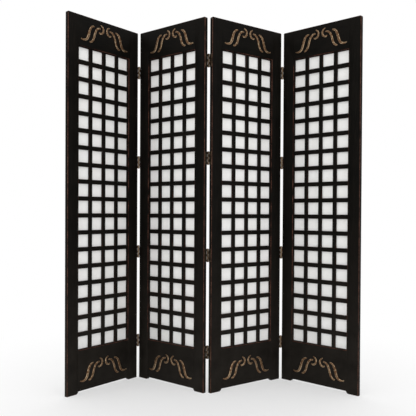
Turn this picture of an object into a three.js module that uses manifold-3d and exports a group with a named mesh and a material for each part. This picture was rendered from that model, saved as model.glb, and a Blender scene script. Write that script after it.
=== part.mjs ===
// Four-panel folding screen: dark hardwood frames with a square lattice, backed with
// paper and hung together on brass butt hinges. Millimetres, +Z up. The screen stands
// in a zigzag, its front towards -Y, and the origin is the middle of its footprint.

import * as THREE from 'three';
import { mergeVertices } from 'three/addons/utils/BufferGeometryUtils.js';
import Module from 'manifold-3d';

const wasm = await Module();
wasm.setup();

// ---------------------------------------------------------------- driving dimensions

const CLEARANCE = 0.3; // running and seating gap between separate pieces

// the frame of one panel
const PANEL_WIDTH = 445;
const PANEL_HEIGHT = 1830;
const PANEL_THICKNESS = 20;
const STILE_WIDTH = 64;
const TOP_RAIL_HEIGHT = 149;
const BOTTOM_RAIL_HEIGHT = 199.5;
const RAIL_LIFT = 12; // height of the bottom rail's lower edge above the floor
const FOOT_CHAMFER = 8; // inner corner of each foot
const TOP_CORNER_RADIUS = 5; // outer top corner of each stile
const OPENING_CHAMFER = 1.6; // arris round the lattice opening, front and back

// mortise and tenon joints
const TENON_LENGTH = 38;
const TENON_THICKNESS = 7;
const TENON_SHOULDER = 22; // rail height left above and below the tenon
const TENON_ROOT = 7; // length of the tenon inside the rail, which makes them one piece

// the lattice and its paper
const COLUMNS = 4;
const ROWS = 18;
const UPRIGHT_BAR = 19;
const CROSS_BAR = 21.3;
const BAR_DEPTH = 9.3;
const BORDER_REVEAL = 3; // border of the lattice that shows inside the frame
const GROOVE_DEPTH = 7;
const PAPER_THICKNESS = 0.5;
const PAPER_MARGIN = 2; // paper stops this far inside the lattice's outer edge

// the hinges
const HINGES_PER_JOINT = 4;
const LOWEST_HINGE = 198; // centre of the lowest hinge above the floor
const HIGHEST_HINGE = 209; // centre of the highest hinge below the top
const HINGE_HEIGHT = 63.5;
const KNUCKLES = 5;
const PIN_RADIUS = 2.6;
const LEAF_THICKNESS = 2.1;
const LEAF_SETBACK = 2; // leaf stops this far short of the panel's other face
const LEAF_CORNER_RADIUS = 3;
const PIN_STANDOFF = 3; // pin's centre in front of, or behind, the panel's face
const PIN_HEAD_RADIUS = 3.8;
const PIN_HEAD_HEIGHT = 1.8;
const SCREW_HOLE_RADIUS = 2;
const COUNTERSINK_RADIUS = 3.5;
const SCREW_PITCH = 21; // height between neighbouring screws
const SCREW_STAGGER = 4; // middle screw stands this much further from the pin

// the zigzag: each panel's turn about the vertical, in degrees, left to right
const PANEL_YAWS = [50.1, -38.7, 35.0, -41.4];

// round forms are built with this many sides
const BARREL_SIDES = 8;
const HOLE_SIDES = 6;
const CORNER_STEPS = 2;

// --------------------------------------------------------------------- derived sizes

const railLength = PANEL_WIDTH - 2 * STILE_WIDTH;
const openingBottom = RAIL_LIFT + BOTTOM_RAIL_HEIGHT;
const openingTop = PANEL_HEIGHT - TOP_RAIL_HEIGHT;
const openingHeight = openingTop - openingBottom;

const latticeFront = (PANEL_THICKNESS - BAR_DEPTH) / 2;
const latticeBack = latticeFront + BAR_DEPTH;
const paperFront = latticeBack + CLEARANCE;
const grooveFront = latticeFront - CLEARANCE;
const grooveBack = paperFront + PAPER_THICKNESS + CLEARANCE;
const latticeReach = GROOVE_DEPTH - CLEARANCE;

const cellWidth = (railLength - 2 * BORDER_REVEAL - (COLUMNS - 1) * UPRIGHT_BAR) / COLUMNS;
const cellHeight = (openingHeight - 2 * BORDER_REVEAL - (ROWS - 1) * CROSS_BAR) / ROWS;

// A polygon with n sides stands inside its circle, so a bore's corners are moved out
// until its flats keep the clearance.
const boreRadius = (PIN_RADIUS + CLEARANCE) / Math.cos(Math.PI / BARREL_SIDES);
const knuckleRadius = PIN_RADIUS + CLEARANCE + LEAF_THICKNESS;
const knucklePitch = HINGE_HEIGHT / KNUCKLES;
const pinOffset = knuckleRadius + CLEARANCE; // pin's centre beyond the panel's end face

const leafInner = knuckleRadius - LEAF_THICKNESS;
const leafReach = PIN_STANDOFF + PANEL_THICKNESS - LEAF_SETBACK;
const knuckleSweep = knuckleRadius + CLEARANCE;
const notchDepth = Math.sqrt(knuckleSweep ** 2 - leafInner ** 2) + CLEARANCE;
const screwLine = (notchDepth + leafReach) / 2;

// ------------------------------------------------------------------------- materials

const finishes = {
  wood: { color: 0x1e1a17, roughness: 0.5, metalness: 0 },
  paper: { color: 0xf7f6f2, roughness: 0.9, metalness: 0 },
  brass: { color: 0x6c5d4a, roughness: 0.42, metalness: 1 },
};

// --------------------------------------------------------------------- solid helpers

function toSolid(geometry) {
  const bare = geometry.clone();
  bare.deleteAttribute('normal');
  bare.deleteAttribute('uv');
  const merged = mergeVertices(bare, 1e-5);
  return new wasm.Manifold(new wasm.Mesh({
    numProp: 3,
    vertProperties: new Float32Array(merged.attributes.position.array),
    triVerts: new Uint32Array(merged.index.array),
  }));
}

function toMesh(name, solid, finish) {
  const { vertProperties, triVerts } = solid.getMesh();
  const geometry = new THREE.BufferGeometry();
  geometry.setAttribute('position', new THREE.BufferAttribute(vertProperties, 3));
  geometry.setIndex(new THREE.BufferAttribute(triVerts, 1));
  geometry.computeVertexNormals();
  const mesh = new THREE.Mesh(geometry, new THREE.MeshStandardMaterial(finishes[finish]));
  mesh.name = name;
  return mesh;
}

function box([x0, x1], [y0, y1], [z0, z1]) {
  const geometry = new THREE.BoxGeometry(Math.abs(x1 - x0), Math.abs(y1 - y0), Math.abs(z1 - z0));
  geometry.translate((x0 + x1) / 2, (y0 + y1) / 2, (z0 + z1) / 2);
  return toSolid(geometry);
}

// A cylinder or cone frustum along Z. The corners of its polygon lie on the radius.
function round(radiusBottom, radiusTop, [z0, z1], sides) {
  const geometry = new THREE.CylinderGeometry(radiusTop, radiusBottom, z1 - z0, sides);
  geometry.rotateX(Math.PI / 2);
  geometry.translate(0, 0, (z0 + z1) / 2);
  return toSolid(geometry);
}

// An outline drawn in the panel's face, X across and Z up, given a depth along +Y.
function board(outline, depth) {
  const geometry = new THREE.ExtrudeGeometry(outline, {
    depth,
    bevelEnabled: false,
    curveSegments: CORNER_STEPS,
  });
  geometry.rotateX(Math.PI / 2);
  geometry.translate(0, depth, 0);
  return geometry;
}

// The chamfer round the lattice opening: a shallow tray whose rim is wider than the
// opening at the panel's face and as wide as the opening at its floor.
function openingChamfer(face, floor) {
  const geometry = new THREE.BoxGeometry(railLength, Math.abs(face - floor), openingHeight);
  const flareX = 1 + (2 * OPENING_CHAMFER) / railLength;
  const flareZ = 1 + (2 * OPENING_CHAMFER) / openingHeight;
  const corners = geometry.attributes.position;
  const faceSide = Math.sign(face - floor);
  for (let i = 0; i < corners.count; i += 1) {
    if (Math.sign(corners.getY(i)) === faceSide) {
      corners.setX(i, corners.getX(i) * flareX);
      corners.setZ(i, corners.getZ(i) * flareZ);
    }
  }
  geometry.translate(PANEL_WIDTH / 2, (face + floor) / 2, (openingBottom + openingTop) / 2);
  return toSolid(geometry);
}

// What is taken out of every frame piece: the groove for the lattice and its paper,
// and the chamfer on both faces.
function openingCut() {
  const groove = box(
    [STILE_WIDTH - GROOVE_DEPTH, PANEL_WIDTH - STILE_WIDTH + GROOVE_DEPTH],
    [grooveFront, grooveBack],
    [openingBottom - GROOVE_DEPTH, openingTop + GROOVE_DEPTH],
  );
  const frontChamfer = openingChamfer(0, OPENING_CHAMFER);
  const backChamfer = openingChamfer(PANEL_THICKNESS, PANEL_THICKNESS - OPENING_CHAMFER);
  return groove.add(frontChamfer).add(backChamfer);
}

// --------------------------------------------------------------------- frame pieces

// Panel coordinates: X across from the left end, Y from the front face to the back,
// Z up from the floor.

const rails = {
  top: [openingTop, PANEL_HEIGHT],
  bottom: [RAIL_LIFT, openingBottom],
};

const tenonFront = (PANEL_THICKNESS - TENON_THICKNESS) / 2;
const tenonDepth = [tenonFront, tenonFront + TENON_THICKNESS];

// A tenon's box at one end of a rail, or with a margin, the mortise that takes it.
function tenonBox([z0, z1], shoulder, inward, margin) {
  return box(
    [shoulder + inward * TENON_ROOT, shoulder - inward * (TENON_LENGTH + margin)],
    [tenonDepth[0] - margin, tenonDepth[1] + margin],
    [z0 + TENON_SHOULDER - margin, z1 - TENON_SHOULDER + margin],
  );
}

// outer is the X of the stile's outer edge, and inward is +1 or -1 towards the opening.
function stile(outer, inward) {
  const inner = outer + inward * STILE_WIDTH;
  const outline = new THREE.Shape();
  outline.moveTo(outer, 0);
  outline.lineTo(inner - inward * FOOT_CHAMFER, 0);
  outline.lineTo(inner, FOOT_CHAMFER);
  outline.lineTo(inner, PANEL_HEIGHT);
  outline.lineTo(outer + inward * TOP_CORNER_RADIUS, PANEL_HEIGHT);
  outline.quadraticCurveTo(outer, PANEL_HEIGHT, outer, PANEL_HEIGHT - TOP_CORNER_RADIUS);
  outline.closePath();
  return Object.values(rails).reduce(
    (solid, rail) => solid.subtract(tenonBox(rail, inner, inward, CLEARANCE)),
    toSolid(board(outline, PANEL_THICKNESS)).subtract(openingCut()),
  );
}

function rail(span) {
  const shoulders = [STILE_WIDTH, PANEL_WIDTH - STILE_WIDTH];
  const plank = box(
    [shoulders[0] + CLEARANCE, shoulders[1] - CLEARANCE],
    [0, PANEL_THICKNESS],
    span,
  );
  return plank
    .subtract(openingCut())
    .add(tenonBox(span, shoulders[0], 1, 0))
    .add(tenonBox(span, shoulders[1], -1, 0));
}

// The bars that part a row of cells, with the border bars running out to the limits.
function barSpans(firstCell, cells, cell, bar, [low, high]) {
  return Array.from({ length: cells + 1 }, (_, index) => {
    const cellStart = firstCell + index * (cell + bar);
    return [index === 0 ? low : cellStart - bar, index === cells ? high : cellStart];
  });
}

function lattice() {
  const slab = [latticeFront, latticeBack];
  const across = [STILE_WIDTH - latticeReach, PANEL_WIDTH - STILE_WIDTH + latticeReach];
  const upward = [openingBottom - latticeReach, openingTop + latticeReach];
  const left = STILE_WIDTH + BORDER_REVEAL;
  const bottom = openingBottom + BORDER_REVEAL;
  const bars = [
    ...barSpans(left, COLUMNS, cellWidth, UPRIGHT_BAR, across).map((x) => box(x, slab, upward)),
    ...barSpans(bottom, ROWS, cellHeight, CROSS_BAR, upward).map((z) => box(across, slab, z)),
  ];
  return bars.reduce((solid, bar) => solid.add(bar));
}

function paper() {
  const reach = latticeReach - PAPER_MARGIN;
  return box(
    [STILE_WIDTH - reach, PANEL_WIDTH - STILE_WIDTH + reach],
    [paperFront, paperFront + PAPER_THICKNESS],
    [openingBottom - reach, openingTop + reach],
  );
}

// -------------------------------------------------------------------- hinge pieces

// Hinge coordinates: the pin stands on the origin, the panel's end face is at
// X = pinOffset, its knuckle-side face at Y = PIN_STANDOFF, and Z = 0 is mid-height.

// The stretch of one knuckle, counted from the bottom. A positive margin leaves room
// for it in the other leaf.
function knuckleSpan(index, margin) {
  const z = index * knucklePitch - HINGE_HEIGHT / 2;
  return [z - margin, z + knucklePitch + margin];
}

// The flat of a leaf, with round corners at its free edge, cut back at the other
// leaf's knuckles and countersunk for three screws.
function leafPlate(otherKnuckles) {
  const top = HINGE_HEIGHT / 2;
  const outline = new THREE.Shape();
  outline.moveTo(0, -top);
  outline.lineTo(leafReach - LEAF_CORNER_RADIUS, -top);
  outline.quadraticCurveTo(leafReach, -top, leafReach, -top + LEAF_CORNER_RADIUS);
  outline.lineTo(leafReach, top - LEAF_CORNER_RADIUS);
  outline.quadraticCurveTo(leafReach, top, leafReach - LEAF_CORNER_RADIUS, top);
  outline.lineTo(0, top);
  outline.closePath();
  const geometry = board(outline, LEAF_THICKNESS);
  geometry.translate(0, -LEAF_THICKNESS, 0);
  geometry.rotateZ(Math.PI / 2);
  geometry.translate(leafInner, 0, 0);

  let plate = toSolid(geometry);
  for (const index of otherKnuckles) {
    const notch = [-CLEARANCE, notchDepth];
    plate = plate.subtract(box([0, pinOffset], notch, knuckleSpan(index, CLEARANCE / 2)));
  }
  for (const step of [-1, 0, 1]) {
    const y = screwLine + (step === 0 ? SCREW_STAGGER : -SCREW_STAGGER) / 2;
    plate = plate.subtract(screwHole(y, step * SCREW_PITCH));
  }
  return plate;
}

// A countersunk hole whose wide mouth opens away from the panel's end face.
function screwHole(y, z) {
  const hole = round(
    SCREW_HOLE_RADIUS,
    COUNTERSINK_RADIUS,
    [-LEAF_THICKNESS - CLEARANCE, CLEARANCE],
    HOLE_SIDES,
  );
  return hole.rotate([0, -90, 0]).translate([leafInner, y, z]);
}

function leaf(ownKnuckles, otherKnuckles) {
  let solid = leafPlate(otherKnuckles);
  for (const index of ownKnuckles) {
    const span = knuckleSpan(index, -CLEARANCE / 2);
    solid = solid.add(round(knuckleRadius, knuckleRadius, span, BARREL_SIDES));
  }
  const through = [-HINGE_HEIGHT, HINGE_HEIGHT];
  return solid.subtract(round(boreRadius, boreRadius, through, BARREL_SIDES));
}

// The pin with a button head at each end.
function pin() {
  const shank = HINGE_HEIGHT / 2 + CLEARANCE;
  const end = shank + PIN_HEAD_HEIGHT;
  const profile = [
    [0, -end],
    [PIN_HEAD_RADIUS - PIN_HEAD_HEIGHT / 2, -end],
    [PIN_HEAD_RADIUS, -shank],
    [PIN_RADIUS, -shank],
    [PIN_RADIUS, shank],
    [PIN_HEAD_RADIUS, shank],
    [PIN_HEAD_RADIUS - PIN_HEAD_HEIGHT / 2, end],
    [0, end],
  ].map(([r, y]) => new THREE.Vector2(r, y));
  const geometry = new THREE.LatheGeometry(profile, BARREL_SIDES);
  geometry.rotateX(Math.PI / 2);
  return toSolid(geometry);
}

const everyKnuckle = Array.from({ length: KNUCKLES }, (_, index) => index);
const outerKnuckles = everyKnuckle.filter((index) => index % 2 === 0);
const innerKnuckles = everyKnuckle.filter((index) => index % 2 === 1);

const hingeSolids = {
  left: leaf(outerKnuckles, innerKnuckles),
  right: leaf(innerKnuckles, outerKnuckles),
  pin: pin(),
};

function hingeHeights() {
  const highest = PANEL_HEIGHT - HIGHEST_HINGE;
  const step = (highest - LOWEST_HINGE) / (HINGES_PER_JOINT - 1);
  return Array.from({ length: HINGES_PER_JOINT }, (_, index) => LOWEST_HINGE + index * step);
}

// ------------------------------------------------------------------------- assembly

const frameSolids = {
  left_stile: stile(0, 1),
  right_stile: stile(PANEL_WIDTH, -1),
  top_rail: rail(rails.top),
  bottom_rail: rail(rails.bottom),
  lattice: lattice(),
};

// Joints 1-2 and 3-4 have their pins in front of the panels, joint 2-3 behind them.
function pinInPanel(joint, end) {
  const inFront = joint % 2 === 1;
  return new THREE.Vector2(
    end === 'right' ? PANEL_WIDTH + pinOffset : -pinOffset,
    inFront ? -PIN_STANDOFF : PANEL_THICKNESS + PIN_STANDOFF,
  );
}

function makePanel(number) {
  const panel = new THREE.Group();
  for (const [piece, solid] of Object.entries(frameSolids)) {
    panel.add(toMesh(`panel${number}_${piece}`, solid, 'wood'));
  }
  panel.add(toMesh(`panel${number}_paper`, paper(), 'paper'));
  return panel;
}

// Adds one joint's leaves, or leaves and pins, to the panel that carries them. A leaf
// is the same casting wherever it goes, turned so that it lies on the end face with
// its knuckles on the pin's side.
function addHinges(panel, number, joint, end) {
  const inFront = joint % 2 === 1;
  const place = pinInPanel(joint, end);
  hingeHeights().forEach((height, index) => {
    const hinge = `joint${joint}${joint + 1}_hinge${index + 1}`;
    const leafSolid = end === 'right' ? hingeSolids.left : hingeSolids.right;
    const half = toMesh(`${hinge}_leaf${number}`, leafSolid, 'brass');
    half.position.set(place.x, place.y, height);
    if (end === 'right' && inFront) half.rotation.y = Math.PI;
    if (end === 'right' && !inFront) half.rotation.z = Math.PI;
    if (end === 'left' && !inFront) half.rotation.x = Math.PI;
    panel.add(half);
    if (end === 'right') {
      const pinMesh = toMesh(`${hinge}_pin`, hingeSolids.pin, 'brass');
      pinMesh.position.copy(half.position);
      panel.add(pinMesh);
    }
  });
}

function makeScreen() {
  const screen = new THREE.Group();
  const nextPin = new THREE.Vector2();
  PANEL_YAWS.forEach((degrees, index) => {
    const number = index + 1;
    const yaw = THREE.MathUtils.degToRad(degrees);
    const panel = makePanel(number);
    const centre = new THREE.Vector2();
    if (number > 1) {
      const leftPin = pinInPanel(number - 1, 'left').rotateAround(centre, yaw);
      panel.position.set(nextPin.x - leftPin.x, nextPin.y - leftPin.y, 0);
      addHinges(panel, number, number - 1, 'left');
    }
    if (number < PANEL_YAWS.length) {
      const rightPin = pinInPanel(number, 'right').rotateAround(centre, yaw);
      nextPin.set(panel.position.x + rightPin.x, panel.position.y + rightPin.y);
      addHinges(panel, number, number, 'right');
    }
    panel.rotation.z = yaw;
    screen.add(panel);
  });
  return screen;
}

// The middle of the footprint goes to the origin.
const screen = makeScreen();
screen.updateMatrixWorld(true);
const extent = new THREE.Box3().setFromObject(screen, true);
const middle = extent.getCenter(new THREE.Vector3());
screen.position.set(-middle.x, -middle.y, -extent.min.z);

export default screen;
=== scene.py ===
import math

import bmesh
import bpy
from bpy.props import FloatProperty, FloatVectorProperty, IntProperty, PointerProperty
from mathutils import Matrix, Vector


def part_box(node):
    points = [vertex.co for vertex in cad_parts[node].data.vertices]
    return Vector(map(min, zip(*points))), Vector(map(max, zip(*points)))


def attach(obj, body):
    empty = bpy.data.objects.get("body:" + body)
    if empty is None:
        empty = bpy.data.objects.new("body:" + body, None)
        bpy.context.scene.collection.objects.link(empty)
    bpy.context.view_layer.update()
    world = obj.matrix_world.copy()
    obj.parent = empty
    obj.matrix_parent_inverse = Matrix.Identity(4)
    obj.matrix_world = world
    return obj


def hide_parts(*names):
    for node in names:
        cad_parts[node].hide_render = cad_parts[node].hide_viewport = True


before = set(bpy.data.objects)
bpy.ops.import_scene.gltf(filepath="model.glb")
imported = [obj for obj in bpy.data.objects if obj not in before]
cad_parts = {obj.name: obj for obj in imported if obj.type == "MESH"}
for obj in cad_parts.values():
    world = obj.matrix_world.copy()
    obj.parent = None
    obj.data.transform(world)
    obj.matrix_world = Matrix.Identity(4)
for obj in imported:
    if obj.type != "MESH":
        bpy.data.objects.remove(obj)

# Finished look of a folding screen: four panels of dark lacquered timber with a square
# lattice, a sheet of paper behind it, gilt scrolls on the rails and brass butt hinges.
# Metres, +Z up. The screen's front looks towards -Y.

bl_info = {
    "name": "Folding screen",
    "version": (1, 0, 0),
    "blender": (4, 5, 0),
    "location": "3D View > Sidebar > Screen",
    "description": "Builds the finished pieces of a four-panel folding screen and its studio",
    "category": "Add Mesh",
}

MM = 0.001
PANELS = (1, 2, 3, 4)
JOINTS = ((1, 2), (2, 3), (3, 4))
HINGES = (1, 2, 3, 4)


# ------------------------------------------------------------ places and sizes of the frame

def middle(node):
    """The middle of a node's box."""
    low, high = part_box(node)
    return (low + high) / 2


def panel_place(number):
    """The matrix from a panel's coordinates to the row frame.

    X runs across from the panel's middle, Y through it from front to back with the middle
    of its thickness at zero, and Z up from the floor.
    """
    left = middle(f"panel{number}_left_stile")
    right = middle(f"panel{number}_right_stile")
    across = (right - left).normalized()
    up = Vector((0, 0, 1))
    place = Matrix((across, up.cross(across), up)).transposed().to_4x4()
    place.translation = ((left.x + right.x) / 2, (left.y + right.y) / 2, 0)
    return place


def extent(node, place):
    """A node's lowest and highest corners in the coordinates that place belongs to."""
    inverse = place.inverted()
    points = [inverse @ vertex.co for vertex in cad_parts[node].data.vertices]
    low = Vector([min(point[axis] for point in points) for axis in range(3)])
    high = Vector([max(point[axis] for point in points) for axis in range(3)])
    return low, high


PLACES = {number: panel_place(number) for number in PANELS}


def hinge_place(left, right, panel):
    """The matrix from hinge coordinates to the row frame, for the leaves on one panel.

    The pins stand on the Z axis. X runs from them into the panel, and Y from the panel's
    face on their side to its other face.
    """
    pin = middle(f"joint{left}{right}_hinge1_pin")
    in_panel = PLACES[panel].inverted() @ pin
    turn = PLACES[panel].to_3x3()
    inward = turn @ Vector((-math.copysign(1, in_panel.x), 0, 0))
    away = turn @ Vector((0, -math.copysign(1, in_panel.y), 0))
    place = Matrix((inward, away, inward.cross(away))).transposed().to_4x4()
    place.translation = (pin.x, pin.y, 0)
    return place


STILE_LOW, STILE_HIGH = extent("panel1_left_stile", PLACES[1])
TOP_RAIL_LOW = extent("panel1_top_rail", PLACES[1])[0]
BOTTOM_RAIL_LOW, BOTTOM_RAIL_HIGH = extent("panel1_bottom_rail", PLACES[1])
LATTICE_LOW, LATTICE_HIGH = extent("panel1_lattice", PLACES[1])
LEAF_LOW, LEAF_HIGH = extent("joint12_hinge1_leaf1", hinge_place(1, 2, 1))

HALF_WIDTH = -STILE_LOW.x
HALF_THICKNESS = STILE_HIGH.y
HEIGHT = STILE_HIGH.z
RAIL_LIFT = BOTTOM_RAIL_LOW.z
OPENING_HALF_WIDTH = -STILE_HIGH.x
OPENING_HIGH = TOP_RAIL_LOW.z
OPENING_LOW = BOTTOM_RAIL_HIGH.z
OPENING_MIDDLE = (OPENING_LOW + OPENING_HIGH) / 2
OPENING_HALF_HEIGHT = (OPENING_HIGH - OPENING_LOW) / 2
LATTICE_DEPTH = LATTICE_HIGH.y - LATTICE_LOW.y
KNUCKLE_RADIUS = LEAF_HIGH.x
LEAF_REACH = LEAF_HIGH.y
LEAF_HEIGHT = LEAF_HIGH.z - LEAF_LOW.z


# -------------------------------------------------------------------------------- settings

def length(name, description, default):
    """A size in metres."""
    return FloatProperty(
        name=name, description=description, default=default,
        min=0, precision=5, subtype="DISTANCE", unit="LENGTH",
    )


def share(name, description, default):
    """A number from none to all."""
    return FloatProperty(
        name=name, description=description, default=default, min=0, max=1, subtype="FACTOR",
    )


def count(name, description, default, least):
    """A whole number."""
    return IntProperty(name=name, description=description, default=default, min=least)


def angle(name, description, degrees):
    """An angle."""
    return FloatProperty(
        name=name, description=description, default=math.radians(degrees),
        subtype="ANGLE", unit="ROTATION",
    )


def colour(name, description, default):
    """A colour."""
    return FloatVectorProperty(
        name=name, description=description, default=default, min=0, max=1, subtype="COLOR",
    )


class TimberSettings(bpy.types.PropertyGroup):
    """Lacquered timber of the frames and lattices."""

    arris: length("Eased Arris", "Rounding of the frame's outer arrises", 1.2 * MM)
    wear: length("Wear Width", "Width of the rubbed line along the frame's arrises", 2.6 * MM)
    lacquer: colour("Lacquer", "Colour of the sound lacquer", (0.0031, 0.0028, 0.0022))
    streak: colour("Streak", "Lacquer where the grain shows through", (0.0115, 0.0092, 0.0072))
    undercoat: colour("Undercoat", "Red-brown coat under the lacquer", (0.065, 0.022, 0.016))
    # Dust near the floor together with painted light bounced from the floor: the lacquer is drawn
    # lighter towards the floor, in patches.
    dust_and_floor_light: colour("Dust", "Dusty lacquer near the floor", (0.0195, 0.0165, 0.0135))
    bare: colour("Bare Timber", "Timber where the undercoat has gone too", (0.20, 0.115, 0.08))
    roughness: share("Roughness", "Roughness of the sound lacquer", 0.46)
    specular: share("Specular", "Strength of the lacquer's reflection", 0.04)


class LatticeSettings(bpy.types.PropertyGroup):
    """Bars of the lattice."""

    columns: count("Columns", "Cells across", 4, least=1)
    rows: count("Rows", "Cells up", 18, least=1)
    upright_bar: length("Upright Bar", "Width of an upright bar", 19 * MM)
    cross_bar: length("Cross Bar", "Height of a cross bar", 21.3 * MM)
    reveal: length("Border Reveal", "Border that shows inside the frame", 3 * MM)
    arris: length("Arris", "Rounding of the bars' arrises", 0.9 * MM)
    lap: length("Lap Step", "How far the uprights stand proud of the cross bars", 0.15 * MM)
    wear: length("Wear Width", "Width of the rubbed line along the bars", 1.3 * MM)


class PaperSettings(bpy.types.PropertyGroup):
    """Paper behind the lattice."""

    sheet: colour("Sheet", "Colour of the paper", (0.96, 0.955, 0.94))
    fibre: colour("Fibre", "Colour of the long fibres in it", (0.83, 0.81, 0.755))


class CarvingSettings(bpy.types.PropertyGroup):
    """Gilt scrolls on the rails."""

    relief: length("Relief", "Height of the widest stroke before it is hollowed", 3.4 * MM)
    top_height: length("Top Scroll", "Height of the top scroll's middle", 1762.5 * MM)
    bottom_height: length("Bottom Scroll", "Height of the bottom scroll's middle", 105.8 * MM)
    step: length("Step", "Distance between sections along a stroke", 1.8 * MM)
    sections: count("Sides", "Sides of a stroke", 20, least=6)
    hollow: share("Hollow", "Depth of the gouged hollow along a stroke's middle", 0.45)
    # The gold on the ridges is a painted highlight as well as rubbed gold; the copper in the
    # hollow and on the flanks is toned gold with painted shade.
    gold: colour("Gold", "Rubbed gold on the ridges", (0.68, 0.52, 0.33))
    copper: colour("Copper", "Toned gold in the hollow and on the flanks", (0.13, 0.062, 0.027))
    bole: colour("Bole", "Clay ground where the gold has gone", (0.055, 0.023, 0.012))


class HingeSettings(bpy.types.PropertyGroup):
    """Brass butt hinges."""

    knuckles: count("Knuckles", "Knuckles of a hinge", 5, least=3)
    thickness: length("Leaf", "Thickness of a leaf", 2.1 * MM)
    gap: length("Gap", "Gap between the pieces", 0.3 * MM)
    notch: length("Notch", "Cut-back of a leaf at the other leaf's knuckles", 4.74 * MM)
    corner: length("Corner", "Rounding of a leaf's free corners", 3 * MM)
    pin_radius: length("Pin", "Radius of the pin", 2.6 * MM)
    head_radius: length("Pin Head", "Radius of the pin's button heads", 3.8 * MM)
    head_height: length("Head Height", "Height of the pin's button heads", 1.8 * MM)
    screw_radius: length("Screw Head", "Radius of a screw's head", 3.2 * MM)
    screw_pitch: length("Screw Pitch", "Height between neighbouring screws", 21 * MM)
    screw_stagger: length("Stagger", "How far the middle screw is out of line", 4 * MM)
    sides: count("Sides", "Sides of a round form", 28, least=8)
    # Lighter brass on the outer half of the knuckles and on the pins: rubbed brass together with
    # painted highlight.
    bright: colour("Bright", "Brass where hands have rubbed it", (0.24, 0.17, 0.11))
    dull: colour("Dull", "Browned brass", (0.042, 0.031, 0.021))


class StageSettings(bpy.types.PropertyGroup):
    """Floor, light and camera."""

    floor: colour("Floor", "Colour of the floor", (0.9, 0.9, 0.9))
    floor_radius: length("Floor Radius", "Radius of the round floor", 9)
    sky: share("Sky", "Strength of the white surround on the screen", 1.0)
    lens: FloatProperty(
        name="Lens", description="Focal length on a sensor 36 mm wide", default=49.72,
        min=1, subtype="DISTANCE_CAMERA",
    )
    shift: FloatVectorProperty(
        name="Shift", description="Shift of the view across and up, as a share of its width",
        default=(-0.0268, 0.0275), size=2,
    )
    eye: FloatVectorProperty(
        name="Eye", description="Place of the camera", default=(-0.0128, -2.9047, 0.8794),
        subtype="TRANSLATION", unit="LENGTH",
    )
    heading: angle("Heading", "How far the camera looks to the left", -0.742)
    dip: angle("Dip", "How far the camera looks down", 0.641)
    roll: angle("Roll", "Turn of the camera about its view", 0.328)


class ScreenSettings(bpy.types.PropertyGroup):
    """Everything about the folding screen that can be changed."""

    timber: PointerProperty(type=TimberSettings, name="Timber", description="Lacquered timber")
    lattice: PointerProperty(type=LatticeSettings, name="Lattice", description="Lattice bars")
    paper: PointerProperty(type=PaperSettings, name="Paper", description="Paper")
    carving: PointerProperty(type=CarvingSettings, name="Carving", description="Gilt scrolls")
    hinge: PointerProperty(type=HingeSettings, name="Hinges", description="Brass hinges")
    stage: PointerProperty(type=StageSettings, name="Stage", description="Floor and light")


# ------------------------------------------------------------------------------ node wiring

FLOAT = "NodeSocketFloat"
INTEGER = "NodeSocketInt"
VECTOR = "NodeSocketVector"
GEOMETRY = "NodeSocketGeometry"
MATERIAL = "NodeSocketMaterial"
OBJECT = "NodeSocketObject"


def add(tree, kind, inputs=None, **settings):
    """Adds a node. Each input is given a value, or another node's output to link to."""
    made = tree.nodes.new(kind)
    for name, value in settings.items():
        setattr(made, name, value)
    for key, value in (inputs or {}).items():
        if isinstance(value, bpy.types.NodeSocket):
            tree.links.new(value, made.inputs[key])
        else:
            made.inputs[key].default_value = value
    return made


def calc(tree, operation, *values):
    """The result of a Math node."""
    return add(tree, "ShaderNodeMath", dict(enumerate(values)), operation=operation).outputs[0]


def vector_calc(tree, operation, *values):
    """The vector from a Vector Math node."""
    made = add(tree, "ShaderNodeVectorMath", dict(enumerate(values)), operation=operation)
    return made.outputs["Vector"]


def vector(tree, x, y, z):
    """A vector of three numbers."""
    return add(tree, "ShaderNodeCombineXYZ", {0: x, 1: y, 2: z}).outputs[0]


def parts(tree, value):
    """The three numbers of a vector."""
    return add(tree, "ShaderNodeSeparateXYZ", {0: value}).outputs


def ramp(tree, value, start, end, low=0.0, high=1.0):
    """Goes smoothly from low at start to high at end."""
    inputs = {"Value": value, "From Min": start, "From Max": end, "To Min": low, "To Max": high}
    made = add(tree, "ShaderNodeMapRange", inputs, interpolation_type="SMOOTHSTEP")
    return made.outputs["Result"]


def mixed(tree, amount, first, second):
    """The first colour where amount is 0 and the second where it is 1."""
    return add(
        tree, "ShaderNodeMix", {0: amount, 6: first, 7: second}, data_type="RGBA",
    ).outputs[2]


def noise(tree, place, scale, detail=3.0, roughness=0.5, distortion=0.0):
    """Noise from 0 to 1."""
    inputs = {
        "Vector": place, "Scale": scale, "Detail": detail, "Roughness": roughness,
        "Distortion": distortion,
    }
    return add(tree, "ShaderNodeTexNoise", inputs).outputs["Fac"]


def new_group(name, kind, inputs, outputs):
    """A node group, with its input sockets and output sockets by name."""
    tree = bpy.data.node_groups.new(name, kind)
    for label, socket_type, default in inputs:
        socket = tree.interface.new_socket(label, in_out="INPUT", socket_type=socket_type)
        if default is not None:
            socket.default_value = default
    for label, socket_type in outputs:
        tree.interface.new_socket(label, in_out="OUTPUT", socket_type=socket_type)
    given = tree.nodes.new("NodeGroupInput").outputs
    result = tree.nodes.new("NodeGroupOutput").inputs
    return tree, given, result


def placed(tree, group, inputs):
    """Places a group in a tree and gives its outputs."""
    kind = "GeometryNodeGroup" if group.bl_idname == "GeometryNodeTree" else "ShaderNodeGroup"
    return add(tree, kind, inputs, node_tree=group).outputs


def opaque(rgb):
    """A colour with full alpha."""
    return (*rgb, 1.0)


# --------------------------------------------------------------------- shared shader effects

# Tuples such as cloud_band are given to ramp: its start, its end and, where they aren't 0 and
# 1, its results there. The scale of noise on a place is in cells per metre.

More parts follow.
